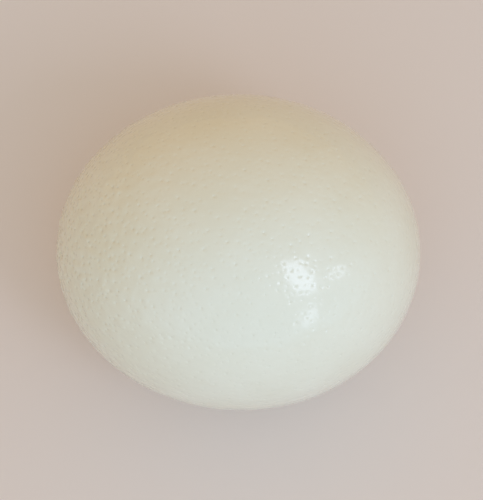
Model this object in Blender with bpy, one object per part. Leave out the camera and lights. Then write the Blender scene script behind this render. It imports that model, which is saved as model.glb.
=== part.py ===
"""An ostrich egg lying on its side: one closed shell, pitted by its larger pores, with a flat to rest on.

Metres, +Z up. The long axis lies along X with the blunt end at +X, and the origin is under the middle, on the
surface that the egg lies on. The shell is the unit sphere of directions stretched to the egg, so each point
of it is first a direction, and the faces are the Delaunay triangles of those directions.
"""

import math

import bpy
import numpy as np
from mathutils.geometry import delaunay_2d_cdt

NAME = "ostrich_egg"

# Driving dimensions
LENGTH = 0.150  # pointed tip to blunt tip
WIDTH = 0.1303  # across the widest section
BLUNTNESS = 0.006  # share by which an ellipsoid's width grows towards one tip and shrinks towards the other
FLAT_DEPTH = 0.0006  # what the flat takes off the lowest side

# Pores. Only the larger ones are cut here: the smaller ones are plain points of the surface.
LARGE_PORES = 640
LARGE_SPACING = 0.0073  # least distance between two large pores
SMALL_PORES = 880
SMALL_SPACING = 0.0040  # least distance from a small one to any other
PORE_SEED = 11

PIT_WIDTH = 0.0015
PIT_DEPTH = 0.0005
PIT_SIDES = 5

FLAT_SIDES = 24  # corners round the edge of the flat
EDGE_ROUNDS = 8  # rounds in which the flat's edge is worked out, more than enough for it to settle

SHELL_COLOUR = (0.78, 0.75, 0.63, 1.0)
SHELL_ROUGHNESS = 0.38
SMOOTH_UNDER = math.radians(28)  # faces that meet at less than this are shaded as one surface
MERGE_NEARER = 1e-9  # two projected points nearer than this would be one

# Worked out from them
HALF_LENGTH = LENGTH / 2
HALF_WIDTH = WIDTH / 2
AXIS_HEIGHT = HALF_WIDTH - FLAT_DEPTH
CENTRE = np.array([0.0, 0.0, AXIS_HEIGHT])


def unit(vectors):
    """The vectors, each one unit long."""
    return vectors / np.linalg.norm(vectors, axis=-1, keepdims=True)


def radii(along):
    """Half length and the two half widths that a direction is stretched by. along is its X part, -1 to 1."""
    across = HALF_WIDTH * (1 + BLUNTNESS * along)
    return np.stack([np.full_like(along, HALF_LENGTH), across, across], axis=-1)


def on_shell(directions):
    """The points of the whole egg's surface in these directions."""
    return CENTRE + directions * radii(directions[..., 0])


def direction_of(points):
    """The directions of points that lie close to the surface."""
    from_centre = points - CENTRE
    return unit(from_centre / radii(from_centre[..., 0] / HALF_LENGTH))


def outward(directions):
    """The surface's normals in these directions."""
    return unit(directions / radii(directions[..., 0]))


def scatter(chance, placed, count, spacing):
    """Throws darts at the egg until count more have landed at least spacing from all that are placed."""
    points = on_shell(placed)
    landed = []
    while len(landed) < count:
        dart = unit(chance.normal(size=3))
        point = on_shell(dart)
        cut_off = point[2] < 0
        if cut_off or np.linalg.norm(points - point, axis=1).min() < spacing:
            continue
        landed.append(dart)
        points = np.vstack([points, point])
    return np.array(landed)


def extremes():
    """The directions of the tips, sides and top, so that the faceted solid has its full size."""
    widest = math.sqrt(1 - BLUNTNESS**2)
    sides = [[BLUNTNESS, widest, 0], [BLUNTNESS, -widest, 0], [BLUNTNESS, 0, widest]]
    return np.array([[1, 0, 0], [-1, 0, 0], *sides])


def flat_edge():
    """The directions of the flat's edge, where the egg's surface meets the surface that it lies on."""
    height = AXIS_HEIGHT / HALF_WIDTH
    turn = np.linspace(0, math.tau, FLAT_SIDES, endpoint=False)
    sideways = np.full(FLAT_SIDES, math.sqrt(1 - height**2))
    for _ in range(EDGE_ROUNDS):  # the blunt side is wider, so the edge lies a little further out there
        down = height / (1 + BLUNTNESS * sideways * np.cos(turn))
        sideways = np.sqrt(1 - down**2)
    return np.stack([sideways * np.cos(turn), sideways * np.sin(turn), -down], axis=-1)


def pit_rims(pores):
    """The directions of the corners round each pore's pit, which lie on the surface."""
    normals = outward(pores)
    first = unit(np.cross(normals, [0.0, 0.0, 1.0]))
    second = np.cross(normals, first)
    corners = []
    for turn in np.linspace(0, math.tau, PIT_SIDES, endpoint=False):
        outwards = math.cos(turn) * first + math.sin(turn) * second
        corners.append(direction_of(on_shell(pores) + outwards * PIT_WIDTH / 2))
    return np.concatenate(corners)


def triangles(directions):
    """Delaunay triangles of directions on the sphere, with a hole inside the lowest ring.

    Seen from the sphere's lowest point the directions spread over a plane, and circles stay circles, so the
    plane's Delaunay triangles are the sphere's.
    """
    spread = directions[:, :2] / (1 + directions[:, 2:])
    found = delaunay_2d_cdt(spread.tolist(), [], [], 0, MERGE_NEARER)
    faces, origins = found[2], found[3]
    return [[origins[corner][0] for corner in face] for face in faces]


def shell_mesh():
    """The closed, pitted surface as a Blender mesh."""
    chance = np.random.default_rng(PORE_SEED)
    edge = flat_edge()
    plain = np.vstack([edge, extremes()])
    large = scatter(chance, plain, LARGE_PORES, LARGE_SPACING)
    small = scatter(chance, np.vstack([plain, large]), SMALL_PORES, SMALL_SPACING)
    directions = np.vstack([plain, small, pit_rims(large), large])
    points = on_shell(directions)
    points[: len(edge), 2] = 0.0
    points[-len(large) :] -= outward(large) * PIT_DEPTH
    underside = list(reversed(range(len(edge))))
    mesh = bpy.data.meshes.new(NAME)
    mesh.from_pydata(points.tolist(), [], [*triangles(directions), underside])
    mesh.shade_smooth()
    mesh.set_sharp_from_angle(angle=SMOOTH_UNDER)
    return mesh


def shell_material():
    """Ivory shell with a soft gloss."""
    material = bpy.data.materials.new("eggshell")
    material.use_nodes = True
    surface = material.node_tree.nodes["Principled BSDF"]
    surface.inputs["Base Color"].default_value = SHELL_COLOUR
    surface.inputs["Roughness"].default_value = SHELL_ROUGHNESS
    surface.inputs["Metallic"].default_value = 0.0
    return material


def main():
    for old in list(bpy.data.objects):
        bpy.data.objects.remove(old)
    egg = bpy.data.objects.new(NAME, shell_mesh())
    egg.data.materials.append(shell_material())
    bpy.context.scene.collection.objects.link(egg)


main()
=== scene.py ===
"""The looks of an ostrich egg that lies on its side: a fine, pored shell in place of the plain solid.

Metres, in the solid's own frame: +Z up, the long axis along X with the blunter end at +X, the floor at zero.
The shell is made as the solid is, from directions of the unit sphere that are stretched to the egg. Its
larger pores are the solid's own pits, found again by the same rule, and thousands of smaller ones come
between them.
"""

import math

import bpy
import numpy as np
from mathutils import Euler, Matrix, Vector
from mathutils.geometry import delaunay_2d_cdt
from mathutils.kdtree import KDTree


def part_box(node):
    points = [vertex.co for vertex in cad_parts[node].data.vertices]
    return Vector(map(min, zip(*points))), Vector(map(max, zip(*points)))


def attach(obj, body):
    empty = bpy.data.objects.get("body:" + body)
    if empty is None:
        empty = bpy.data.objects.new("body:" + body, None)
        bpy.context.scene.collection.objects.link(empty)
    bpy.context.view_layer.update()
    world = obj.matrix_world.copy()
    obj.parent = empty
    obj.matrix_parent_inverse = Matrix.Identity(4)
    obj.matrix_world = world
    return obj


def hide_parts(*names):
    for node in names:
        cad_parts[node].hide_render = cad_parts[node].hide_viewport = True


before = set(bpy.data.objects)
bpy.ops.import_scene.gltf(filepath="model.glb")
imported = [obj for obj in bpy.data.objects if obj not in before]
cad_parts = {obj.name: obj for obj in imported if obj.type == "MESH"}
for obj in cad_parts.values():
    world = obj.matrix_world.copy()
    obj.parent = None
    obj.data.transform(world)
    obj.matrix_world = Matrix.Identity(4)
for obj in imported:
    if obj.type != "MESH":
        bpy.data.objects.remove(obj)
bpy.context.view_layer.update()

NODE = "ostrich_egg"
PIECE = "pored_shell"
MM = 0.001

# The egg's form, from the solid, which is drawn to a tenth of a millimetre
LOWEST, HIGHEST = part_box(NODE)
LENGTH = round(HIGHEST.x - LOWEST.x, 4)
WIDTH = round(HIGHEST.y - LOWEST.y, 4)
FLAT_DEPTH = round(WIDTH - (HIGHEST.z - LOWEST.z), 4)
BLUNTNESS = 0.006  # share by which the width grows towards the blunter tip and shrinks towards the other
HALF_LENGTH = LENGTH / 2
HALF_WIDTH = WIDTH / 2
AXIS_HEIGHT = HALF_WIDTH - FLAT_DEPTH
CENTRE = np.array([0.0, 0.0, AXIS_HEIGHT])

# The solid's pits, which are the larger pores
SOLID_SEED = 11
LARGE_PORES = 640
LARGE_SPACING = 7.3 * MM
SOLID_FLAT_SIDES = 24

# A pore is a round pit in a shallow dimple. Each pair is the least and the most, in millimetres: the radius
# of the pit, its depth, the radius of the dimple and how far the dimple sinks. Towards the pointed tip they
# get deeper, and at the tip itself deeper_at_tip times their depth has been added. The corners are those
# round the pit's rim and round the ring halfway down.
PORE_SEED = 38269  # it puts a few pores where the shell mirrors the window, as in the photograph
PORES = {
    "large": {
        "pit_radius": (0.48, 0.62),
        "pit_depth": (0.13, 0.20),
        "dimple": (1.50, 1.90),
        "sink": (0.010, 0.030),
        "deeper_at_tip": 1.4,
        "corners": (8, 6),
    },
    "medium": {
        "count": 1800,
        "spacing": 2.5 * MM,
        "pit_radius": (0.36, 0.50),
        "pit_depth": (0.08, 0.14),
        "dimple": (1.40, 1.80),
        "sink": (0.010, 0.025),
        "deeper_at_tip": 2.6,
        "corners": (7, 5),
    },
    "small": {
        "count": 2600,
        "spacing": 1.8 * MM,
        "pit_radius": (0.32, 0.44),
        "pit_depth": (0.05, 0.09),
        "dimple": (1.20, 1.60),
        "sink": (0.010, 0.025),
        "deeper_at_tip": 4.0,
        "corners": (5, 4),
    },
}
SMOOTHER_FRONT = 0.35  # share by which pores are shallower on the front, the side at -Y
FRONT_FROM = 0.6  # how far to -Y a direction has to point to be on it
HALFWAY = 0.5  # radius of the ring inside a pit, as a share of the pit's
HALFWAY_DEPTH = 0.56  # its depth as a share of the whole
RAGGED = 0.12  # how far a corner of a pore's edge strays, as a share of the radius

# The plain surface between the pores
PLAIN_POINTS = 49000  # on the whole egg, before those that come too near a pore or the flat are left out
PLAIN_CLEAR = 0.45 * MM  # least distance from a plain point to a pore's corner
FLAT_SIDES = 96
FLAT_CLEAR = 0.10 * MM  # height under which no plain point stands, so that the flat keeps its edge
EDGE_ROUNDS = 8  # rounds in which the flat's edge is worked out
MERGE_NEARER = 1e-9

# Unevenness of the whole shell, as waves of many lengths: slow swells, and a grain between the pores. Each
# has the shortest and the longest wave, and the height of a wave as a share of its length.
WAVE_SEED = 5
WAVES = 48
SWELL = (9 * MM, 45 * MM, 0.0030)
GRAIN = (2.4 * MM, 6 * MM, 0.0050)
ROUGHER_AT_TIP = 8.0  # how many times its height is added to the grain at the pointed tip

# Colours of the shell, as linear light
IVORY = (0.775, 0.745, 0.600)
CREAM = (0.740, 0.705, 0.550)
# The pores' brown, mixed in more the deeper a point lies in a pit: partly the pores' own dirt, partly painted
# shade
PORE_DIRT_AND_SHADE = (0.45, 0.37, 0.24)
DIRT_AND_SHADE_DEPTHS = (0.05, 0.3)  # in millimetres down a pit
DIRT_AND_SHADE_SHARE = (0.0, 0.16)  # how much of the pores' brown, partly their own dirt and partly painted shade, shows at the first and at the second of those depths

# Noises in the shell's material: how large their features are, and how fine their detail is
MOTTLE = (34 * MM, 4)
SPECKLES = (2.2 * MM, 3)
WEAR = (6 * MM, 3)
PEEL = (1.2 * MM, 2)
PEEL_HEIGHT = 0.006 * MM
NOISE_MIDDLE = (0.3, 0.7)  # the noise's values from which the mottle and the wear rise, and to which
SPECKLE_MIDDLE = (0.25, 0.75)  # the same for the speckles
SPECKLE_SHADES = (0.992, 1.008)  # what the speckles multiply the colour by

# Gloss of the shell: a satin ground, duller down in the pits, under a thin clear coat
GROUND_ROUGHNESS = (0.50, 0.60)
DULL_DEPTHS = (0.0, 0.3)  # in millimetres down a pit
DULLER_BY = (0.0, 0.3)  # what is added to the roughness at the first and at the second of those depths
COAT_WEIGHT = 1.0
COAT_ROUGHNESS = 0.15

# The photograph's view. The picture's size, and the egg's place and size in it, are in pixels.
IMAGE_SIZE = (483, 500)
EGG_CENTRE = (238.4, 252.2)
EGG_HALF_LENGTH = 182.0
EGG_TILT = math.radians(1.36)  # the blunter end is the lower one in the picture
CAMERA_DISTANCE = 0.60
CAMERA_ELEVATION = math.radians(70)
SENSOR = 36.0  # millimetres
CLIP_START = 0.01

# The studio's light, from the side turned away from the window to the side turned to it
TOWARDS_WINDOW = (0.27, -0.71, 0.65)  # to the right, up and towards the camera
STUDIO_GLOW = (
    (0.835, 0.600, 0.372),
    (0.697, 0.500, 0.313),
    (0.658, 0.540, 0.392),
    (0.742, 0.795, 0.840),
    (0.930, 1.175, 1.470),
)
STUDIO_STRENGTH = 1.7  # the colours are divided by it in the ramp, so that none is over 1 there
WINDOW_DISTANCE = 1.2  # from the shell to each pane
WINDOW_TINT = (0.66, 0.76, 1.0)
WINDOW_LEAN = math.radians(12)  # how far the panes lean to the left
# Each pane of the window: where in the picture the shell mirrors it, how wide and high it looks there, and
# how bright it is
PANES = {
    "window_upper": ((294, 267.5), (26, 12), 5.5),
    "window_middle": ((299.5, 278.5), (27, 11), 5.2),
    "window_lower": ((304, 288.5), (26, 11), 4.7),
    "window_side": ((338, 271.5), (14, 9), 4.8),
    "window_low": ((309.5, 317), (16, 16), 3.7),
}
FLOOR_HALF = 4.0
FLOOR_COLOUR = (0.75, 0.65, 0.58)
FLOOR_ROUGHNESS = 0.9


def unit(vectors):
    """The vectors, each one unit long."""
    return vectors / np.linalg.norm(vectors, axis=-1, keepdims=True)


def radii(along):
    """Half length and the two half widths that a direction is stretched by. along is its X part, -1 to 1."""
    across = HALF_WIDTH * (1 + BLUNTNESS * along)
    return np.stack([np.full_like(along, HALF_LENGTH), across, across], axis=-1)


def on_shell(directions):
    """The points of the egg's even surface in these directions."""
    return CENTRE + directions * radii(directions[..., 0])


def direction_of(points):
    """The directions of points that lie close to the surface."""
    from_centre = points - CENTRE
    return unit(from_centre / radii(from_centre[..., 0] / HALF_LENGTH))


def outward(directions):
    """The even surface's normals in these directions."""
    return unit(directions / radii(directions[..., 0]))


def scatter(chance, placed, count, spacing):
    """Throws darts at the egg until count more have landed at least spacing from all that are placed."""
    points = np.empty((len(placed) + count, 3))
    points[: len(placed)] = on_shell(placed)
    filled = len(placed)
    landed = []
    while len(landed) < count:
        dart = unit(chance.normal(size=3))
        point = on_shell(dart)
        if point[2] < 0 or np.linalg.norm(points[:filled] - point, axis=1).min() < spacing:
            continue
        landed.append(dart)
        points[filled] = point
        filled += 1
    return np.array(landed)


def extremes():
    """The directions of the tips, the sides and the top."""
    widest = math.sqrt(1 - BLUNTNESS**2)
    sides = [[BLUNTNESS, widest, 0], [BLUNTNESS, -widest, 0], [BLUNTNESS, 0, widest]]
    return np.array([[1, 0, 0], [-1, 0, 0], *sides])


def flat_edge(corners):
    """The directions of the flat's edge, where the surface meets the floor."""
    height = AXIS_HEIGHT / HALF_WIDTH
    turn = np.linspace(0, math.tau, corners, endpoint=False)
    sideways = np.full(corners, math.sqrt(1 - height**2))
    for _ in range(EDGE_ROUNDS):
        down = height / (1 + BLUNTNESS * sideways * np.cos(turn))
        sideways = np.sqrt(1 - down**2)
    return np.stack([sideways * np.cos(turn), sideways * np.sin(turn), -down], axis=-1)


def spiral(count):
    """Evenly spread directions, along a golden spiral from pole to pole."""
    step = np.arange(count) + 0.5
    height = 1 - 2 * step / count
    turn = step * math.pi * (1 + math.sqrt(5))
    across = np.sqrt(1 - height**2)
    return np.stack([across * np.cos(turn), across * np.sin(turn), height], axis=-1)


def tree_of(points):
    """A search tree of these points."""
    tree = KDTree(len(points))
    for index, point in enumerate(points.tolist()):
        tree.insert(point, index)
    tree.balance()
    return tree


def rings(chance, pores, radius, corners):
    """Directions of ragged rings of this radius round the pores: all corners of one pore, then the next's."""
    normals = outward(pores)
    first = unit(np.cross(normals, [0.0, 0.0, 1.0]))
    second = np.cross(normals, first)
    start = chance.uniform(0, math.tau, len(pores))
    turn = start[:, None] + np.linspace(0, math.tau, corners, endpoint=False)
    reach = radius[:, None] * chance.uniform(1 - RAGGED, 1 + RAGGED, turn.shape)
    across = (reach * np.cos(turn))[..., None] * first[:, None]
    across += (reach * np.sin(turn))[..., None] * second[:, None]
    return direction_of((on_shell(pores)[:, None] + across).reshape(-1, 3))


def towards_tip(directions):
    """How near these directions are to the pointed tip: 1 there, and 0 on the whole blunter half."""
    return np.maximum(-directions[:, 0], 0) ** 2


def towards_front(directions):
    """How near these directions are to the middle of the front: 1 there, and 0 on most of the egg."""
    share = np.clip((-directions[:, 1] - FRONT_FROM) / (1 - FRONT_FROM), 0, 1)
    return share * (1 - towards_tip(directions))


def unevenness(chance, points, shortest, longest, steepness):
    """Height at these points of waves whose lengths lie between the shortest and the longest."""
    height = np.zeros(len(points))
    for _ in range(WAVES):
        length = shortest * (longest / shortest) ** chance.uniform()
        heading = unit(chance.normal(size=3))
        phase = chance.uniform(0, math.tau)
        height += length * np.sin(points @ heading * math.tau / length + phase)
    return height * steepness / math.sqrt(WAVES)


def triangles(directions):
    """Delaunay triangles of directions on the sphere, with a hole inside the lowest ring."""
    spread = directions[:, :2] / (1 + directions[:, 2:])
    found = delaunay_2d_cdt(spread.tolist(), [], [], 0, MERGE_NEARER)
    faces, origins = found[2], found[3]
    return [[origins[corner][0] for corner in face] for face in faces]


def pore_places(chance, edge):
    """The directions of the pores of each size. The large ones are thrown as the solid's are."""
    solid_chance = np.random.default_rng(SOLID_SEED)
    solid_points = np.vstack([flat_edge(SOLID_FLAT_SIDES), extremes()])
    places = {"large": scatter(solid_chance, solid_points, LARGE_PORES, LARGE_SPACING)}
    for name in ("medium", "small"):
        taken = np.vstack([edge, *places.values()])
        places[name] = scatter(chance, taken, PORES[name]["count"], PORES[name]["spacing"])
    return places


def plain_between(cut):
    """Directions that fill the surface between the points that are placed already."""
    placed = tree_of(on_shell(cut))
    plain = spiral(PLAIN_POINTS)
    points = on_shell(plain).tolist()
    return plain[[point[2] > FLAT_CLEAR and placed.find(point)[2] > PLAIN_CLEAR for point in points]]


def pored_points(edge):
    """Directions of all the points, the edge's first, how deep in a pit each lies, and the dimples."""
    chance = np.random.default_rng(PORE_SEED)
    directions, pit_depth = [edge], [np.zeros(len(edge))]
    dimples = []
    for name, pores in pore_places(chance, edge).items():
        size = PORES[name]
        radius, deep, dimple, sink = (
            chance.uniform(*size[measure], len(pores)) * MM
            for measure in ("pit_radius", "pit_depth", "dimple", "sink")
        )
        deeper = 1 + size["deeper_at_tip"] * towards_tip(pores)
        deeper *= 1 - SMOOTHER_FRONT * towards_front(pores)
        deep, sink = deep * deeper, sink * deeper
        dimples += zip(on_shell(pores).tolist(), dimple, sink)
        at_rim, at_halfway = size["corners"]
        directions += [pores, rings(chance, pores, radius, at_rim)]
        directions.append(rings(chance, pores, radius * HALFWAY, at_halfway))
        pit_depth += [deep, np.zeros(len(pores) * at_rim), np.repeat(deep * HALFWAY_DEPTH, at_halfway)]
    plain = plain_between(np.vstack(directions))
    return np.vstack([*directions, plain]), np.concatenate([*pit_depth, np.zeros(len(plain))]), dimples


def shell_mesh():
    """The fine surface, with how deep each point lies in a pit as an attribute, in millimetres."""
    edge = flat_edge(FLAT_SIDES)
    directions, pit_depth, dimples = pored_points(edge)
    points = on_shell(directions)
    chance = np.random.default_rng(WAVE_SEED)
    depth = pit_depth - unevenness(chance, points, *SWELL)
    depth -= unevenness(chance, points, *GRAIN) * (1 + ROUGHER_AT_TIP * towards_tip(directions))
    tree = tree_of(points)
    for centre, radius, sink in dimples:
        for _, index, distance in tree.find_range(centre, radius):
            depth[index] += sink * (1 - (distance / radius) ** 2) ** 2
    depth[: len(edge)] = 0
    points -= outward(directions) * depth[:, None]
    points[: len(edge), 2] = 0.0

    mesh = bpy.data.meshes.new(PIECE)
    underside = list(reversed(range(len(edge))))
    mesh.from_pydata(points.tolist(), [], [*triangles(directions), underside])
    pit_attribute = mesh.attributes.new("pit", "FLOAT", "POINT")
    pit_attribute.data.foreach_set("value", (pit_depth / MM).astype(np.float32))
    mesh.shade_smooth()
    mesh.polygons[-1].use_smooth = False  # the underside
    return mesh


class Nodes:
    """Adds nodes to a node tree and links them up."""

    def __init__(self, tree):
        self.tree = tree

    def add(self, kind, values=(), **settings):
        """A node with these settings. values has what each input holds: a number, a colour or an output."""
        node = self.tree.nodes.new("ShaderNode" + kind)
        for name, setting in settings.items():
            setattr(node, name, setting)
        for name, value in dict(values).items():
            self.put(node.inputs[name], value)
        return node

    def put(self, socket, value):
        """Sets the socket to this number or colour, or links it to this output."""
        if isinstance(value, bpy.types.NodeSocket):
            self.tree.links.new(value, socket)
        elif isinstance(value, tuple) and socket.type == "RGBA":
            socket.default_value = (*value, 1.0)
        else:
            socket.default_value = value

    def noise(self, where, size, detail):
        """Noise whose features are about this size, in metres."""
        return self.add("TexNoise", {"Vector": where, "Scale": 1 / size, "Detail": detail}).outputs["Fac"]

    def stretch(self, value, low, high, to_low=0.0, to_high=1.0):
        """value, stretched so that low and high become to_low and to_high, and kept between those."""
        values = {"Value": value, "From Min": low, "From Max": high, "To Min": to_low, "To Max": to_high}
        return self.add("MapRange", values).outputs["Result"]

    def mix(self, share, first, second, blend="MIX"):
        """Two colours mixed, with this share of the second."""
        node = self.add("Mix", data_type="RGBA", blend_type=blend)
        self.put(node.inputs[0], share)
        self.put(node.inputs[6], first)
        self.put(node.inputs[7], second)
        return node.outputs[2]


def shell_material():
    """Ivory shell under a thin gloss: faintly mottled, duller down in the pores, and browner there with
    depth, partly their dirt and partly painted shade.
    """
    material = bpy.data.materials.new("eggshell")
    material.use_nodes = True
    surface = material.node_tree.nodes["Principled BSDF"]
    nodes = Nodes(material.node_tree)
    where = nodes.add("TexCoord").outputs["Object"]
    pit = nodes.add("Attribute", attribute_name="pit").outputs["Fac"]

    clouds = nodes.stretch(nodes.noise(where, *MOTTLE), *NOISE_MIDDLE)
    mottled = nodes.mix(clouds, IVORY, CREAM)
    shade = nodes.stretch(nodes.noise(where, *SPECKLES), *SPECKLE_MIDDLE, *SPECKLE_SHADES)
    grey = nodes.add("CombineColor", {"Red": shade, "Green": shade, "Blue": shade}).outputs["Color"]
    speckled = nodes.mix(1.0, mottled, grey, "MULTIPLY")
    # Browner with depth in a pit: partly the pores' own dirt, partly painted shade
    pit_dirt_and_shade = nodes.stretch(pit, *DIRT_AND_SHADE_DEPTHS, *DIRT_AND_SHADE_SHARE)
    nodes.put(surface.inputs["Base Color"], nodes.mix(pit_dirt_and_shade, speckled, PORE_DIRT_AND_SHADE))

    worn = nodes.stretch(nodes.noise(where, *WEAR), *NOISE_MIDDLE, *GROUND_ROUGHNESS)
    duller = nodes.stretch(pit, *DULL_DEPTHS, *DULLER_BY)
    roughness = nodes.add("Math", {0: worn, 1: duller}, operation="ADD").outputs[0]
    nodes.put(surface.inputs["Roughness"], roughness)
    surface.inputs["Coat Weight"].default_value = COAT_WEIGHT
    surface.inputs["Coat Roughness"].default_value = COAT_ROUGHNESS

    peel = nodes.noise(where, *PEEL)
    bump = nodes.add("Bump", {"Height": peel, "Strength": 1.0, "Distance": PEEL_HEIGHT})
    nodes.put(surface.inputs["Normal"], bump.outputs["Normal"])
    return material


def make_shell():
    """The egg itself."""
    shell = bpy.data.objects.new(PIECE, shell_mesh())
    shell.data.materials.append(shell_material())
    bpy.context.scene.collection.objects.link(shell)
    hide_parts(NODE)
    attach(shell, "root")


def make_floor():
    """A plain pale floor."""
    half = FLOOR_HALF
    mesh = bpy.data.meshes.new("floor")
    corners = [(-half, -half, 0), (half, -half, 0), (half, half, 0), (-half, half, 0)]
    mesh.from_pydata(corners, [], [(0, 1, 2, 3)])
    material = bpy.data.materials.new("floor")
    material.use_nodes = True
    surface = material.node_tree.nodes["Principled BSDF"]
    surface.inputs["Base Color"].default_value = (*FLOOR_COLOUR, 1)
    surface.inputs["Roughness"].default_value = FLOOR_ROUGHNESS
    mesh.materials.append(material)
    floor = bpy.data.objects.new("floor", mesh)
    bpy.context.scene.collection.objects.link(floor)


def focal_pixels():
    """Focal length in pixels at which the egg's outline is as long as in the photograph."""
    return EGG_HALF_LENGTH * math.sqrt(CAMERA_DISTANCE**2 - HALF_WIDTH**2) / HALF_LENGTH


def make_camera():
    """A camera that sees the egg where the photograph does, and as large."""
    longer = max(IMAGE_SIZE)
    camera = bpy.data.cameras.new("camera")
    camera.sensor_width = SENSOR
    camera.lens = focal_pixels() * SENSOR / longer
    camera.shift_x = (IMAGE_SIZE[0] / 2 - EGG_CENTRE[0]) / longer
    camera.shift_y = (EGG_CENTRE[1] - IMAGE_SIZE[1] / 2) / longer
    camera.clip_start = CLIP_START
    azimuth = math.atan(math.tan(EGG_TILT) / math.sin(CAMERA_ELEVATION))
    placed = bpy.data.objects.new("camera", camera)
    placed.rotation_euler = Euler((math.pi / 2 - CAMERA_ELEVATION, 0, azimuth))
    back = placed.rotation_euler.to_matrix() @ Vector((0, 0, 1))
    placed.location = Vector(CENTRE) + back * CAMERA_DISTANCE
    bpy.context.scene.collection.objects.link(placed)
    bpy.context.scene.camera = placed
    return placed


def mirrored_at(camera, pixel):
    """The point of the even egg that this pixel of the picture shows, and the direction that it mirrors."""
    turn = np.array(camera.rotation_euler.to_matrix())
    right, down = np.subtract(pixel, EGG_CENTRE) / focal_pixels()
    sight = unit(turn @ np.array([right, -down, -1.0]))
    stretch = np.array([HALF_LENGTH, HALF_WIDTH, HALF_WIDTH])
    start, step = (np.array(camera.location) - CENTRE) / stretch, sight / stretch
    half = start @ step
    reach = (-half - math.sqrt(half**2 - step @ step * (start @ start - 1))) / (step @ step)
    normal = unit((start + step * reach) / stretch)
    return np.array(camera.location) + sight * reach, sight - 2 * (sight @ normal) * normal


def make_pane(camera, name, seen_at, seen_size, radiance):
    """One pane of the window, which the shell mirrors at that place of the picture and as large as that."""
    left, top = np.subtract(seen_at, np.divide(seen_size, 2))
    right, bottom = np.add(seen_at, np.divide(seen_size, 2))
    point, heading = mirrored_at(camera, seen_at)
    across = mirrored_at(camera, (right, seen_at[1]))[1] - mirrored_at(camera, (left, seen_at[1]))[1]
    upwards = mirrored_at(camera, (seen_at[0], top))[1] - mirrored_at(camera, (seen_at[0], bottom))[1]
    width, height = (np.linalg.norm(side) * WINDOW_DISTANCE for side in (across, upwards))
    up = unit(np.cross(heading, across))
    turn = Matrix((np.cross(up, heading), up, heading)).transposed() @ Matrix.Rotation(WINDOW_LEAN, 3, "Z")

    light = bpy.data.lights.new(name, "AREA")
    light.shape = "RECTANGLE"
    light.size, light.size_y = width, height
    light.energy = radiance * math.pi * width * height  # the watts that make it this bright
    light.color = WINDOW_TINT
    placed = bpy.data.objects.new(name, light)
    placed.location = point + heading * WINDOW_DISTANCE
    placed.rotation_euler = turn.to_euler()
    bpy.context.scene.collection.objects.link(placed)


def make_studio(camera):
    """Soft light from all round, cool and brighter on the window's side, warm and dimmer on the other."""
    world = bpy.data.worlds.new("studio")
    bpy.context.scene.world = world
    world.use_nodes = True
    nodes = Nodes(world.node_tree)
    where = nodes.add("TexCoord").outputs["Generated"]
    towards = camera.rotation_euler.to_matrix() @ Vector(TOWARDS_WINDOW).normalized()
    facing = nodes.add("VectorMath", {0: where, 1: tuple(towards)}, operation="DOT_PRODUCT").outputs["Value"]
    glow = nodes.add("ValToRGB", {"Fac": nodes.stretch(facing, -1, 1)})
    glow.color_ramp.interpolation = "CARDINAL"
    ramp = glow.color_ramp.elements
    for index, colour in enumerate(STUDIO_GLOW):
        place = index / (len(STUDIO_GLOW) - 1)
        stop = ramp[index] if index < len(ramp) else ramp.new(place)
        stop.position = place
        stop.color = (*(part / STUDIO_STRENGTH for part in colour), 1)
    background = world.node_tree.nodes["Background"]
    nodes.put(background.inputs["Color"], glow.outputs["Color"])
    background.inputs["Strength"].default_value = STUDIO_STRENGTH
    for name, pane in PANES.items():
        make_pane(camera, name, *pane)


make_shell()
make_floor()
make_studio(make_camera())
bpy.context.scene.view_settings.view_transform = "Standard"
